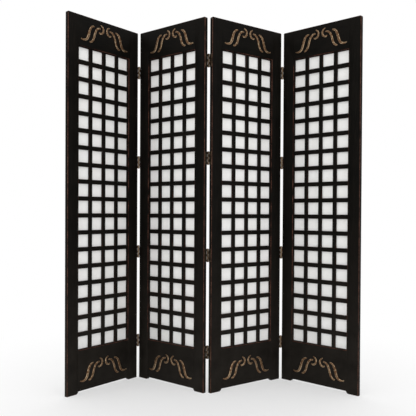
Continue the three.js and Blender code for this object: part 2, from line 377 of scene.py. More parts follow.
def once(build):
    """Makes a group the first time it is asked for and gives the same one afterwards."""
    made = {}

    def group():
        if "tree" not in made:
            made["tree"] = build()
        return made["tree"]

    return group


def diagonal(tree, first, second):
    """The length of the diagonal of a rectangle with two sides."""
    squares = [calc(tree, "MULTIPLY", side, side) for side in (first, second)]
    return calc(tree, "SQRT", calc(tree, "ADD", *squares))


@once
def grain_group():
    """Streaks of timber, long in X and fine in Y and Z."""
    figure_scale = 0.11  # of the fibres' own scale
    figure_waviness = 1.6
    figure_band = (0.34, 0.66)
    tree, given, result = new_group(
        "Timber grain", "ShaderNodeTree",
        [("Vector", VECTOR, None), ("Fineness", FLOAT, 320.0), ("Length", FLOAT, 26.0)],
        [("Fibre", FLOAT), ("Figure", FLOAT)],
    )
    along = calc(tree, "DIVIDE", given["Fineness"], given["Length"])
    spread = vector(tree, along, given["Fineness"], given["Fineness"])
    streaks = vector_calc(tree, "MULTIPLY", given["Vector"], spread)
    fibre = noise(tree, streaks, 1.0, detail=5.0, roughness=0.62)
    tree.links.new(fibre, result["Fibre"])
    figure = noise(tree, streaks, figure_scale, distortion=figure_waviness)
    tree.links.new(ramp(tree, figure, *figure_band), result["Figure"])
    return tree


@once
def arris_group():
    """Wear along the arrises of a rectangle cut from a board, broken up by noise.

    The rectangle lies in X and Z, and the board's faces are at plus and minus Half Depth.
    """
    patch_band = (0.3, 0.68, 0.25, 1.1)
    nibble_scale = 380.0
    nibble_band = (0.25, 0.75, 0.45, 1.5)
    worn_band = (0.5, 1.3, 1.0, 0.0)  # in widths of the worn line
    bare_band = (0.2, 0.7, 1.0, 0.0)
    bare_spots = (0.42, 0.6)
    tree, given, result = new_group(
        "Arris wear", "ShaderNodeTree",
        [
            ("Place", VECTOR, None), ("Middle", VECTOR, None), ("Half Size", VECTOR, None),
            ("Half Depth", FLOAT, 0.01), ("Width", FLOAT, 0.002), ("Patches", FLOAT, 14.0),
        ],
        [("Wear", FLOAT), ("Bare", FLOAT)],
    )
    centred = vector_calc(tree, "SUBTRACT", given["Place"], given["Middle"])
    reach = parts(tree, vector_calc(tree, "ABSOLUTE", centred))
    beyond = parts(tree, vector_calc(tree, "SUBTRACT", vector(tree, *reach), given["Half Size"]))
    right = calc(tree, "MAXIMUM", beyond[0], 0.0)
    above = calc(tree, "MAXIMUM", beyond[2], 0.0)
    outside = diagonal(tree, right, above)
    inside = calc(tree, "MINIMUM", calc(tree, "MAXIMUM", beyond[0], beyond[2]), 0.0)
    outline = calc(tree, "ADD", outside, inside)
    depth = calc(tree, "SUBTRACT", given["Half Depth"], reach[1])
    distance = diagonal(tree, outline, depth)
    patches = noise(tree, given["Place"], given["Patches"], detail=4.0, roughness=0.6)
    nibble = noise(tree, given["Place"], nibble_scale, detail=4.0, roughness=0.65)
    spread = calc(
        tree, "MULTIPLY", ramp(tree, patches, *patch_band), ramp(tree, nibble, *nibble_band),
    )
    width = calc(tree, "MULTIPLY", given["Width"], spread)
    closeness = calc(tree, "DIVIDE", distance, width)
    tree.links.new(ramp(tree, closeness, *worn_band), result["Wear"])
    rubbed = ramp(tree, closeness, *bare_band)
    bare = calc(tree, "MULTIPLY", rubbed, ramp(tree, nibble, *bare_spots))
    tree.links.new(bare, result["Bare"])
    return tree


@once
def patina_group():
    """Soft clouds and small specks of age."""
    cloud_band = (0.3, 0.7)
    cloud_waviness = 0.4
    speck_band = (0.60, 0.74)
    tree, given, result = new_group(
        "Patina", "ShaderNodeTree",
        [("Vector", VECTOR, None), ("Clouds", FLOAT, 9.0), ("Specks", FLOAT, 260.0)],
        [("Cloud", FLOAT), ("Speck", FLOAT)],
    )
    cloud = noise(
        tree, given["Vector"], given["Clouds"],
        detail=5.0, roughness=0.55, distortion=cloud_waviness,
    )
    tree.links.new(ramp(tree, cloud, *cloud_band), result["Cloud"])
    speck = noise(tree, given["Vector"], given["Specks"], detail=2.0, roughness=0.6)
    tree.links.new(ramp(tree, speck, *speck_band), result["Speck"])
    return tree


# -------------------------------------------------------------------------------- materials

def new_material(name):
    """A material, its tree and its shader."""
    material = bpy.data.materials.new(name)
    material.use_nodes = True
    return material, material.node_tree, material.node_tree.nodes["Principled BSDF"]


def attribute(tree, name, output="Vector"):
    """A vector, or with output Fac a number, that is stored on the piece."""
    return add(tree, "ShaderNodeAttribute", attribute_name=name).outputs[output]


def object_place(tree):
    """A point's place on the piece's own object."""
    return add(tree, "ShaderNodeTexCoord").outputs["Object"]


def summed(tree, total, *terms):
    """A number plus some masks, each times its own weight."""
    for mask, weight in terms:
        total = calc(tree, "ADD", total, calc(tree, "MULTIPLY", mask, weight))
    return total


def set_surface(tree, shader, base, roughness, height, depth):
    """Links colour, roughness and a bump whose height 1 stands depth metres high."""
    bump = add(tree, "ShaderNodeBump", {"Strength": 1.0, "Distance": depth, "Height": height})
    tree.links.new(base, shader.inputs["Base Color"])
    tree.links.new(roughness, shader.inputs["Roughness"])
    tree.links.new(bump.outputs["Normal"], shader.inputs["Normal"])


def lacquer(name, timber, wear_of):
    """Dark lacquer over a red-brown undercoat, worn where wear_of says, and lighter towards the
    floor with dust and painted floor light.
    """
    streak_band = (0.45, 0.75)
    clouds = 7.0
    clouding = 0.35
    dust_and_light_height = (0.0, 0.9, 1.0, 0.0)  # in metres from the floor, most at the floor
    dust_and_light_scale = 11.0
    dust_and_light_band = (0.25, 0.7, 0.35, 0.9)
    grain_roughness = 0.1
    cloud_roughness = 0.08
    worn_roughness = 0.22
    relief = 0.12 * MM
    material, tree, shader = new_material(name)
    place = attribute(tree, "place")
    grain = placed(tree, grain_group(), {"Vector": attribute(tree, "grain")})
    patina = placed(tree, patina_group(), {"Vector": place, "Clouds": clouds})
    wear, bare = wear_of(tree, place)
    streaks = calc(tree, "MULTIPLY", ramp(tree, grain["Fibre"], *streak_band), grain["Figure"])
    sound = mixed(tree, streaks, opaque(timber.lacquer), opaque(timber.streak))
    clouded = calc(tree, "MULTIPLY", patina["Cloud"], clouding)
    sound = mixed(tree, clouded, sound, opaque(timber.streak))
    # Painted light bounced from the floor, together with dust: the lacquer turns lighter towards
    # the floor, in patches.
    low = ramp(tree, parts(tree, place)[2], *dust_and_light_height)
    dust_and_light_patches = ramp(tree, noise(tree, place, dust_and_light_scale, detail=4.0, roughness=0.6), *dust_and_light_band)
    sound = mixed(tree, calc(tree, "MULTIPLY", low, dust_and_light_patches), sound, opaque(timber.dust_and_floor_light))
    rubbed = mixed(tree, bare, opaque(timber.undercoat), opaque(timber.bare))
    rough = summed(
        tree, timber.roughness, (grain["Fibre"], grain_roughness),
        (patina["Cloud"], cloud_roughness), (wear, worn_roughness),
    )
    height = calc(tree, "SUBTRACT", grain["Fibre"], wear)
    set_surface(tree, shader, mixed(tree, wear, sound, rubbed), rough, height, relief)
    shader.inputs["Specular IOR Level"].default_value = timber.specular
    return material


def frame_lacquer(timber):
    """Lacquer of the stiles and rails, worn on the outer arrises and round the opening."""
    outlines = (
        (HEIGHT / 2, HALF_WIDTH, HEIGHT / 2),
        (OPENING_MIDDLE, OPENING_HALF_WIDTH, OPENING_HALF_HEIGHT),
    )

    def wear_of(tree, place):
        outer, opening = [
            placed(tree, arris_group(), {
                "Place": place,
                "Middle": (0, 0, centre),
                "Half Size": (half_width, 1, half_height),
                "Half Depth": HALF_THICKNESS,
                "Width": timber.wear,
            })
            for centre, half_width, half_height in outlines
        ]
        return [calc(tree, "MAXIMUM", outer[part], opening[part]) for part in ("Wear", "Bare")]

    return lacquer("Lacquer of frame", timber, wear_of)


def cell_size(lattice):
    """Width and height of a lattice cell."""
    width = 2 * (OPENING_HALF_WIDTH - lattice.reveal) - (lattice.columns - 1) * lattice.upright_bar
    height = 2 * (OPENING_HALF_HEIGHT - lattice.reveal) - (lattice.rows - 1) * lattice.cross_bar
    return width / lattice.columns, height / lattice.rows


def lattice_lacquer(timber, lattice):
    """Lacquer of the bars, worn round every cell: a point is first moved to one cell."""
    handled_scale = 5.0
    handled_band = (0.38, 0.64, 0.15, 0.85)

    def wear_of(tree, place):
        width, height = cell_size(lattice)
        pitch = Vector((width + lattice.upright_bar, 2, height + lattice.cross_bar))
        shift = Vector((
            pitch.x * (lattice.columns - 1) / 2,
            0,
            pitch.z * (lattice.rows - 1) / 2 - OPENING_MIDDLE,
        ))
        moved = vector_calc(tree, "ADD", place, tuple(shift))
        folded = vector_calc(tree, "WRAP", moved, tuple(pitch / 2), tuple(-pitch / 2))
        cell = placed(tree, arris_group(), {
            "Place": folded,
            "Half Size": (width / 2, 1, height / 2),
            "Half Depth": LATTICE_DEPTH / 2,
            "Width": lattice.wear,
        })
        uneven = ramp(tree, noise(tree, place, handled_scale), *handled_band)
        return [calc(tree, "MULTIPLY", cell[part], uneven) for part in ("Wear", "Bare")]

    return lacquer("Lacquer of lattice", timber, wear_of)


def gilt(carving):
    """Old gold leaf: bright on the ridges with painted highlight, coppery in the hollow with
    painted shade, worn through to the clay.
    """
    clouds = 75.0
    clouding = 0.6
    specks = 190.0
    speck_loss = 0.8
    brush_length = 90.0
    brush_scale = 1.2
    ridge_start = (0.12, 0.5)  # this and the next two: places from 0 in the middle to 1
    ridge_end = (0.8, 0.98, 1.0, 0.0)
    foot_band = (0.93, 1.0)
    brushed_band = (0.36, 0.64, 0.1, 1.1)
    gold_metal = 0.85
    lost_metal = 0.8
    roughness = 0.34
    brushed_roughness = 0.22
    lost_roughness = 0.2
    relief = 0.3 * MM
    material, tree, shader = new_material("Old gilding")
    place = attribute(tree, "place")
    patina = placed(tree, patina_group(), {"Vector": place, "Clouds": clouds, "Specks": specks})
    along = attribute(tree, "along", "Fac")
    across = attribute(tree, "across", "Fac")
    run = calc(tree, "MULTIPLY", along, brush_length)
    worked = vector(tree, run, across, parts(tree, place)[0])
    brushed = noise(tree, worked, brush_scale, detail=5.0, roughness=0.6, distortion=0.5)
    side = calc(tree, "ABSOLUTE", across)
    # Painted highlight on the two ridges, with rubbed gold; the hollow in the middle and the
    # flanks get painted shade, with toned gold.
    ridge = calc(tree, "MINIMUM", ramp(tree, side, *ridge_start), ramp(tree, side, *ridge_end))
    ridge = calc(tree, "MULTIPLY", ridge, ramp(tree, brushed, *brushed_band))
    bright = calc(tree, "SUBTRACT", ridge, calc(tree, "MULTIPLY", patina["Cloud"], clouding))
    gold = mixed(tree, bright, opaque(carving.copper), opaque(carving.gold))
    flaked = calc(tree, "MULTIPLY", patina["Speck"], speck_loss)
    # Besides the flaked specks, the foot of every stroke, where it meets the rail, takes the
    # darker bole colour.
    lost = calc(tree, "MAXIMUM", flaked, ramp(tree, side, *foot_band))
    base = mixed(tree, lost, gold, opaque(carving.bole))
    metal = calc(tree, "SUBTRACT", gold_metal, calc(tree, "MULTIPLY", lost, lost_metal))
    tree.links.new(metal, shader.inputs["Metallic"])
    rough = summed(tree, roughness, (brushed, brushed_roughness), (lost, lost_roughness))
    set_surface(tree, shader, base, rough, calc(tree, "SUBTRACT", brushed, lost), relief)
    return material


def brass(hinge):
    """Browned brass: dull on the leaves, rubbed bright on the knuckles and pins, with a painted
    highlight.
    """
    clouds = 70.0
    clouding = 0.45
    specks = 900.0
    scratch_scale = 1400.0
    scratch_stretch = (1, 1, 0.12)
    scratching = 0.6
    outward_band = (0.0, KNUCKLE_RADIUS, 0.55, 0.0)
    rubbed_and_highlit_band = (0.3, 1.2)
    roughness = 0.5
    rubbed_smoothness = 0.18
    relief = 0.04 * MM
    material, tree, shader = new_material("Browned brass")
    place = attribute(tree, "place")
    patina = placed(tree, patina_group(), {"Vector": place, "Clouds": clouds, "Specks": specks})
    stretched = vector_calc(tree, "MULTIPLY", place, scratch_stretch)
    scratches = noise(tree, stretched, scratch_scale, detail=3.0, roughness=0.6)
    # Painted highlight on the outer half of the knuckles and on the pins, broken up by clouds and
    # scratches of rubbing.
    outward = ramp(tree, parts(tree, place)[1], *outward_band)
    lit_and_handled = summed(tree, outward, (patina["Cloud"], clouding), (scratches, scratching))
    rubbed = ramp(tree, lit_and_handled, *rubbed_and_highlit_band)
    base = mixed(tree, rubbed, opaque(hinge.dull), opaque(hinge.bright))
    base = mixed(tree, patina["Speck"], base, opaque(hinge.dull))
    rough = calc(tree, "SUBTRACT", roughness, calc(tree, "MULTIPLY", rubbed, rubbed_smoothness))
    set_surface(tree, shader, base, rough, scratches, relief)
    shader.inputs["Metallic"].default_value = 1.0
    return material


def washi(paper):
    """White handmade paper with long fibres and soft clouds."""
    clouds = 22.0
    clouding = 0.10
    fibre_layers = ((38.0, 0.0), (55.0, 3.7), (80.0, 9.1))  # scale, and shift of the pattern
    fibre_band = (0.0, 0.012, 1.0, 0.0)
    fibre_strength = 0.32
    roughness = 0.82
    fibre_roughness = -0.12
    specular = 0.25
    relief = 0.03 * MM
    material, tree, shader = new_material("Handmade paper")
    place = object_place(tree)
    cloud = placed(tree, patina_group(), {"Vector": place, "Clouds": clouds})["Cloud"]
    fibres = 0.0
    for scale, shift in fibre_layers:
        field = noise(tree, vector_calc(tree, "ADD", place, (shift, shift, shift)), scale, 2.0)
        ridge = calc(tree, "ABSOLUTE", calc(tree, "SUBTRACT", field, 0.5))
        fibres = calc(tree, "MAXIMUM", fibres, ramp(tree, ridge, *fibre_band))
    aged = summed(tree, calc(tree, "MULTIPLY", fibres, fibre_strength), (cloud, clouding))
    base = mixed(tree, aged, opaque(paper.sheet), opaque(paper.fibre))
    rough = summed(tree, roughness, (fibres, fibre_roughness))
    set_surface(tree, shader, base, rough, calc(tree, "ADD", fibres, cloud), relief)
    shader.inputs["Specular IOR Level"].default_value = specular
    return material


# --------------------------------------------------------------------- geometry node trees

ARRIS_STEPS = 2  # facets of a rounded arris


def scaled(tree, value, factor):
    """A vector times a number."""
    inputs = {"Vector": value, "Scale": factor}
    return add(tree, "ShaderNodeVectorMath", inputs, operation="SCALE").outputs["Vector"]


def dot(tree, first, second):
    """The dot product of two vectors."""
    inputs = {0: first, 1: second}
    return add(tree, "ShaderNodeVectorMath", inputs, operation="DOT_PRODUCT").outputs["Value"]


def stored(tree, geometry, name, value, kind="FLOAT"):
    """The geometry with a value kept on its points as an attribute."""
    return add(tree, "GeometryNodeStoreNamedAttribute", {
        "Geometry": geometry, "Name": name, "Value": value,
    }, data_type=kind, domain="POINT").outputs[0]


def end_tree(tree, geometry, material, result):
    """Ends a tree in Realize Instances and Set Material."""
    real = add(tree, "GeometryNodeRealizeInstances", {"Geometry": geometry})
    finish = add(tree, "GeometryNodeSetMaterial", {
        "Geometry": real.outputs[0], "Material": material,
    })
    tree.links.new(finish.outputs[0], result["Geometry"])


def bars_tree():
    """A row of equal bars with rounded arrises, spaced evenly about the middle.

    Stores each point's place along, across and through its bar as the attribute grain.
    """
    tree, given, result = new_group(
        "Row of bars", "GeometryNodeTree",
        [
            ("Count", INTEGER, 3), ("Spacing", VECTOR, None), ("Along", VECTOR, (0, 0, 1)),
            ("Across", VECTOR, (1, 0, 0)), ("Length", FLOAT, 1.0), ("Width", FLOAT, 0.02),
            ("Depth", FLOAT, 0.01), ("Arris", FLOAT, 0.001),
        ],
        [("Geometry", GEOMETRY)],
    )
    half = calc(tree, "MULTIPLY", given["Length"], 0.5)
    line = add(tree, "GeometryNodeCurvePrimitiveLine", {
        "Start": vector(tree, 0.0, 0.0, calc(tree, "MULTIPLY", half, -1.0)),
        "End": vector(tree, 0.0, 0.0, half),
    })
    section = add(tree, "GeometryNodeCurvePrimitiveQuadrilateral", {
        "Width": given["Width"], "Height": given["Depth"],
    })
    rounded = add(tree, "GeometryNodeFilletCurve", {
        "Curve": section.outputs[0], "Count": ARRIS_STEPS, "Radius": given["Arris"],
    }, mode="POLY")
    bar = add(tree, "GeometryNodeCurveToMesh", {
        "Curve": line.outputs[0], "Profile Curve": rounded.outputs[0], "Fill Caps": True,
    })
    gaps = calc(tree, "SUBTRACT", given["Count"], 1.0)
    first = scaled(tree, given["Spacing"], calc(tree, "MULTIPLY", gaps, -0.5))
    points = add(tree, "GeometryNodeMeshLine", {
        "Count": given["Count"], "Start Location": first, "Offset": given["Spacing"],
    })
    turn = add(tree, "FunctionNodeAlignRotationToVector", {"Vector": given["Along"]}, axis="Z")
    row = add(tree, "GeometryNodeInstanceOnPoints", {
        "Points": points.outputs[0], "Instance": bar.outputs[0], "Rotation": turn.outputs[0],
    })
    real = add(tree, "GeometryNodeRealizeInstances", {"Geometry": row.outputs[0]})
    place = tree.nodes.new("GeometryNodeInputPosition").outputs[0]
    along = dot(tree, place, given["Along"])
    across = dot(tree, place, given["Across"])
    grain = vector(tree, along, across, parts(tree, place)[1])
    marked = stored(tree, real.outputs[0], "grain", grain, "FLOAT_VECTOR")
    tree.links.new(marked, result["Geometry"])
    return tree


def lattice_tree():
    """A lattice of upright and cross bars with a border, about the middle of its opening."""
    tree, given, result = new_group(
        "Lattice", "GeometryNodeTree",
        [
            ("Geometry", GEOMETRY, None), ("Columns", INTEGER, 4), ("Rows", INTEGER, 18),
            ("Cell Width", FLOAT, 0.06), ("Cell Height", FLOAT, 0.06),
            ("Upright Bar", FLOAT, 0.02), ("Cross Bar", FLOAT, 0.02),
            ("Width", FLOAT, 0.33), ("Height", FLOAT, 1.5), ("Depth", FLOAT, 0.009),
            ("Lap Step", FLOAT, 0.0002), ("Arris", FLOAT, 0.001), ("Middle", FLOAT, 0.9),
            ("Material", MATERIAL, None),
        ],
        [("Geometry", GEOMETRY)],
    )
    bars = bars_tree()
    joined = tree.nodes.new("GeometryNodeJoinGeometry")
    laps = calc(tree, "MULTIPLY", given["Lap Step"], 2.0)
    shallow = calc(tree, "SUBTRACT", given["Depth"], laps)
    directions = (
        ("Columns", "Cell Width", "Upright Bar", "Width", "Height", (1, 0, 0), (0, 0, 1),
         given["Depth"]),
        ("Rows", "Cell Height", "Cross Bar", "Height", "Width", (0, 0, 1), (1, 0, 0), shallow),
    )
    for cells, cell, bar, span, run, across, along, depth in directions:
        pitch = calc(tree, "ADD", given[cell], given[bar])
        between = calc(tree, "SUBTRACT", given[cells], 1.0)
        filled = calc(tree, "SUBTRACT", calc(tree, "MULTIPLY", pitch, given[cells]), given[bar])
        border = calc(tree, "MULTIPLY", calc(tree, "SUBTRACT", given[span], filled), 0.5)
        to_border = calc(tree, "SUBTRACT", given[span], border)
        for number, width, spacing in (
            (between, given[bar], pitch), (2, border, to_border),
        ):
            row = placed(tree, bars, {
                "Count": number, "Spacing": scaled(tree, across, spacing), "Along": along,
                "Across": across, "Length": given[run], "Width": width, "Depth": depth,
                "Arris": given["Arris"],
            })
            tree.links.new(row["Geometry"], joined.inputs[0])
    lifted = add(tree, "GeometryNodeTransform", {
        "Geometry": joined.outputs[0], "Translation": vector(tree, 0.0, 0.0, given["Middle"]),
    })
    end_tree(tree, lifted.outputs[0], given["Material"], result)
    return tree


def strokes_tree():
    """Carved strokes with rounded ends along curves in X and Z, and their mirror image.

    A curve's radius is half the stroke's width. The strokes rise towards -Y, with a gouged
    hollow along their middle. Stores a point's distance along its stroke, and its place
    across it from -1 to 1.
    """
    hollow_width = 0.34  # of half the stroke's width
    blunt = 1.02  # over 1, so that a stroke ends in a small face and not in a point
    tree, given, result = new_group(
        "Carved strokes", "GeometryNodeTree",
        [
            ("Geometry", GEOMETRY, None), ("Sides", INTEGER, 20), ("Step", FLOAT, 0.002),
            ("Steepness", FLOAT, 0.6), ("Hollow", FLOAT, 0.4), ("Material", MATERIAL, None),
        ],
        [("Geometry", GEOMETRY)],
    )
    stepped = add(tree, "GeometryNodeResampleCurve", {
        "Curve": given["Geometry"], "Length": given["Step"],
    }, mode="LENGTH")
    radius = tree.nodes.new("GeometryNodeInputRadius").outputs[0]
    along = tree.nodes.new("GeometryNodeSplineParameter").outputs["Length"]
    whole = tree.nodes.new("GeometryNodeSplineLength").outputs["Length"]
    to_end = calc(tree, "MINIMUM", along, calc(tree, "SUBTRACT", whole, along))
    inset = calc(tree, "SUBTRACT", 1.0, calc(tree, "DIVIDE", to_end, radius))
    inset = calc(tree, "MAXIMUM", inset, 0.0)
    cap = calc(tree, "SQRT", calc(tree, "SUBTRACT", blunt, calc(tree, "MULTIPLY", inset, inset)))
    run = stored(tree, stepped.outputs[0], "along", along)
    circle = add(tree, "GeometryNodeCurvePrimitiveCircle", {
        "Resolution": given["Sides"], "Radius": 1.0,
    })
    place = tree.nodes.new("GeometryNodeInputPosition").outputs[0]
    rise, across, _ = parts(tree, place)
    closeness = calc(tree, "DIVIDE", across, hollow_width)
    falling = calc(tree, "MULTIPLY", calc(tree, "MULTIPLY", closeness, closeness), -1.0)
    gouge = calc(tree, "MULTIPLY", calc(tree, "EXPONENT", falling), given["Hollow"])
    kept = calc(tree, "MULTIPLY", rise, calc(tree, "SUBTRACT", 1.0, gouge))
    gouged = add(tree, "GeometryNodeSetPosition", {
        "Geometry": stored(tree, circle.outputs[0], "across", across),
        "Position": vector(tree, kept, across, 0.0),
    })
    swept = add(tree, "GeometryNodeCurveToMesh", {
        "Curve": run, "Profile Curve": gouged.outputs[0],
        "Scale": calc(tree, "MULTIPLY", radius, cap), "Fill Caps": True,
    })
    flattened = vector_calc(tree, "MULTIPLY", place, vector(tree, 1.0, given["Steepness"], 1.0))
    half = add(tree, "GeometryNodeSetPosition", {
        "Geometry": swept.outputs[0], "Position": flattened,
    })
    mirrored = add(tree, "GeometryNodeTransform", {
        "Geometry": half.outputs[0], "Scale": (-1, 1, 1),
    })
    turned_out = add(tree, "GeometryNodeFlipFaces", {"Mesh": mirrored.outputs[0]})
    joined = tree.nodes.new("GeometryNodeJoinGeometry")
    for side in (half, turned_out):
        tree.links.new(side.outputs[0], joined.inputs[0])
    end_tree(tree, joined.outputs[0], given["Material"], result)
    return tree


@once
def copies_tree():
    """Copies of a piece on every point, each turned about X by a random angle."""
    tree, given, result = new_group(
        "Copies on points", "GeometryNodeTree",
        [
            ("Geometry", GEOMETRY, None), ("Piece", OBJECT, None), ("Most Turn", FLOAT, 0.0),
            ("Seed", INTEGER, 1), ("Material", MATERIAL, None),
        ],
        [("Geometry", GEOMETRY)],
    )
    piece = add(tree, "GeometryNodeObjectInfo", {"Object": given["Piece"]})
    drawn = add(tree, "FunctionNodeRandomValue", {
        "Min": calc(tree, "MULTIPLY", given["Most Turn"], -1.0), "Max": given["Most Turn"],
        "Seed": given["Seed"],
    })
    turn = add(tree, "FunctionNodeAxisAngleToRotation", {
        "Axis": (1, 0, 0), "Angle": drawn.outputs[1],
    })
    copies = add(tree, "GeometryNodeInstanceOnPoints", {
        "Points": given["Geometry"], "Instance": piece.outputs["Geometry"],
        "Rotation": turn.outputs[0],
    })
    end_tree(tree, copies.outputs[0], given["Material"], result)
    return tree


def grown(tree, source, values):
    """The plain mesh that a geometry tree makes of a mesh or curve."""
    holder = bpy.data.objects.new("holder", source)
    bpy.context.scene.collection.objects.link(holder)
    modifier = holder.modifiers.new("Growth", "NODES")
    modifier.node_group = tree
    for socket in tree.interface.items_tree:
        if socket.in_out == "INPUT" and socket.name in values:
            modifier[socket.identifier] = values[socket.name]
    depsgraph = bpy.context.evaluated_depsgraph_get()
    mesh = bpy.data.meshes.new_from_object(
        holder.evaluated_get(depsgraph), preserve_all_data_layers=True, depsgraph=depsgraph,
    )
    bpy.data.objects.remove(holder)
    if not mesh.polygons:
        raise RuntimeError(f"the tree {tree.name} made nothing")
    return mesh


# ----------------------------------------------------------------------------- mesh helpers

CREASE = math.radians(38)  # edges sharper than this are shaded sharp


def to_mesh(form, name):
    """Ends a bmesh as a mesh whose sharp edges are marked and whose faces are smooth."""
    mesh = bpy.data.meshes.new(name)
    form.to_mesh(mesh)
    form.free()
    soften(mesh)
    return mesh


def soften(mesh):
    """Smooth shading, except across edges sharper than the roundings' facets."""
    mesh.shade_smooth()
    mesh.set_sharp_from_angle(angle=CREASE)


def mark(mesh, name, values):
    """Stores a vector on every point."""
    kept = mesh.attributes.get(name) or mesh.attributes.new(name, "FLOAT_VECTOR", "POINT")
    kept.data.foreach_set("vector", [number for value in values for number in value])


def points_mesh(points):
    """A mesh of loose points."""
    mesh = bpy.data.meshes.new("points")
    mesh.from_pydata([tuple(point) for point in points], [], [])
    return mesh


def full_turn(sides):
    """The angles of a full turn in equal steps."""
    return [2 * math.pi * step / sides for step in range(sides)]


def arc(centre, radii, angles):
    """Points of an ellipse at some angles."""
    return [
        (centre[0] + radii[0] * math.cos(a), centre[1] + radii[1] * math.sin(a)) for a in angles
    ]


def turned(form, profile, sides, ring=False):
    """Adds the solid that an outline of (radius, height) points makes turned about Z."""
    rows = []
    for radius, height in profile:
        angles = full_turn(sides)[:1 if radius == 0 else sides]
        points = arc((0, 0), (radius, radius), angles)
        rows.append([form.verts.new((x, y, height)) for x, y in points])
    pairs = list(zip(rows, rows[1:]))
    if ring:
        pairs.append((rows[-1], rows[0]))
    for low, high in pairs:
        for step in range(sides):
            after = (step + 1) % sides
            corners = [
                low[step % len(low)], low[after % len(low)],
                high[after % len(high)], high[step % len(high)],
            ]
            form.faces.new(list(dict.fromkeys(corners)))


def finished(name, mesh, place, panel, replaced=()):
    """Makes a mesh a piece of the screen that moves with a panel.

    The mesh comes in the panel or hinge coordinates that place belongs to. Its points keep
    them as the attribute place, and the mesh is put into the row frame.
    """
    mark(mesh, "place", [vertex.co for vertex in mesh.vertices])
    mesh.transform(place)
    piece = bpy.data.objects.new(name, mesh)
    bpy.context.scene.collection.objects.link(piece)
    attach(piece, f"panel_{panel}")
    if replaced:
        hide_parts(*replaced)


# ---------------------------------------------------------------------------- frame pieces

FRAME_PARTS = ("left_stile", "right_stile", "top_rail", "bottom_rail")
WELD = 0.002 * MM  # points nearer to each other than this are one
FLAT = math.radians(1)  # faces that meet at less than this are one
SHARP = math.radians(30)  # edges sharper than this are arrises
CORNER_ROOM = 5.5 * MM  # height below the top that the stiles' round corners take

# How far the grain is moved from one panel to the next and from one part to the next, so
# that no two of them look alike.
GRAIN_BY_PANEL = (3.7, 0.9, 0.0)
GRAIN_BY_PART = (1.3, 0.0, 0.7)


def on_outline(vertex):
    """True on the outside edge of the panel's front or back face."""
    point = vertex.co
    on_face = abs(point.y) > HALF_THICKNESS - WELD
    at_side = abs(point.x) > HALF_WIDTH - WELD
    at_end = point.z > HEIGHT - CORNER_ROOM or point.z < RAIL_LIFT + WELD
    return on_face and (at_side or at_end)


def eased_copy(node, place, arris):
    """A frame piece in panel coordinates, its outer arrises rounded."""
    form = bmesh.new()
    form.from_mesh(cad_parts[node].data)
    bmesh.ops.transform(form, matrix=place.inverted(), verts=form.verts)
    bmesh.ops.remove_doubles(form, verts=form.verts, dist=WELD)
    bmesh.ops.dissolve_limit(form, angle_limit=FLAT, verts=form.verts, edges=form.edges)
    arrises = [
        edge for edge in form.edges
        if edge.is_manifold
        and edge.calc_face_angle() > SHARP
        and all(on_outline(vertex) for vertex in edge.verts)
        and abs(edge.verts[0].co.y - edge.verts[1].co.y) < WELD
    ]
    if not arrises:
        raise RuntimeError(f"{node} has no outer arris")
    bmesh.ops.bevel(
        form, geom=arrises, offset=arris, offset_type="OFFSET", segments=ARRIS_STEPS,
        profile=0.5, affect="EDGES", clamp_overlap=True,
    )
    return form


def grain_places(mesh, upright, panel, number):
    """Every point's place with X along the timber, for a part with a number in its panel."""
    steps = zip(GRAIN_BY_PANEL, GRAIN_BY_PART)
    shift = Vector([panel * by_panel + number * by_part for by_panel, by_part in steps])
    return [
        shift + Vector((point.z, point.x, point.y) if upright else (point.x, point.z, point.y))
        for point in (vertex.co for vertex in mesh.vertices)
    ]


class SCREEN_OT_frames(bpy.types.Operator):
    """Build the stiles and rails with eased arrises and worn lacquer"""

    bl_idname = "folding_screen.frames"
    bl_label = "Frames"
    bl_options = {"REGISTER", "UNDO"}

    def execute(self, context):
        timber = context.scene.folding_screen.timber
        material = frame_lacquer(timber)
        for panel, place in PLACES.items():
            for number, part in enumerate(FRAME_PARTS):
                node = f"panel{panel}_{part}"
                mesh = to_mesh(eased_copy(node, place, timber.arris), node)
                upright = part.endswith("stile")
                mark(mesh, "grain", grain_places(mesh, upright, panel, number))
                mesh.materials.clear()
                mesh.materials.append(material)
                finished(f"{node}_lacquered", mesh, place, panel, [node])
        return {"FINISHED"}


class SCREEN_OT_lattices(bpy.types.Operator):
    """Build the lattice of each panel"""

    bl_idname = "folding_screen.lattices"
    bl_label = "Lattices"
    bl_options = {"REGISTER", "UNDO"}

    def execute(self, context):
        settings = context.scene.folding_screen
        lattice = settings.lattice
        width, height = cell_size(lattice)
        tree = lattice_tree()
        material = lattice_lacquer(settings.timber, lattice)
        for panel, place in PLACES.items():
            mesh = grown(tree, points_mesh([(0, 0, 0)]), {
                "Columns": lattice.columns,
                "Rows": lattice.rows,
                "Cell Width": width,
                "Cell Height": height,
                "Upright Bar": lattice.upright_bar,
                "Cross Bar": lattice.cross_bar,
                "Width": LATTICE_HIGH.x - LATTICE_LOW.x,
                "Height": LATTICE_HIGH.z - LATTICE_LOW.z,
                "Depth": LATTICE_DEPTH,
                "Lap Step": lattice.lap,
                "Arris": lattice.arris,
                "Middle": OPENING_MIDDLE,
                "Material": material,
            })
            soften(mesh)
            node = f"panel{panel}_lattice"
            finished(f"{node}_lacquered", mesh, place, panel, [node])
        return {"FINISHED"}


class SCREEN_OT_papers(bpy.types.Operator):
    """Give the paper behind each lattice its finish"""

    bl_idname = "folding_screen.papers"
    bl_label = "Papers"
    bl_options = {"REGISTER", "UNDO"}

    def execute(self, context):
        material = washi(context.scene.folding_screen.paper)
        for panel in PANELS:
            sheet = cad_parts[f"panel{panel}_paper"]
            for slot in sheet.material_slots:
                slot.material = material
        return {"FINISHED"}


# ---------------------------------------------------------------------------------- scrolls

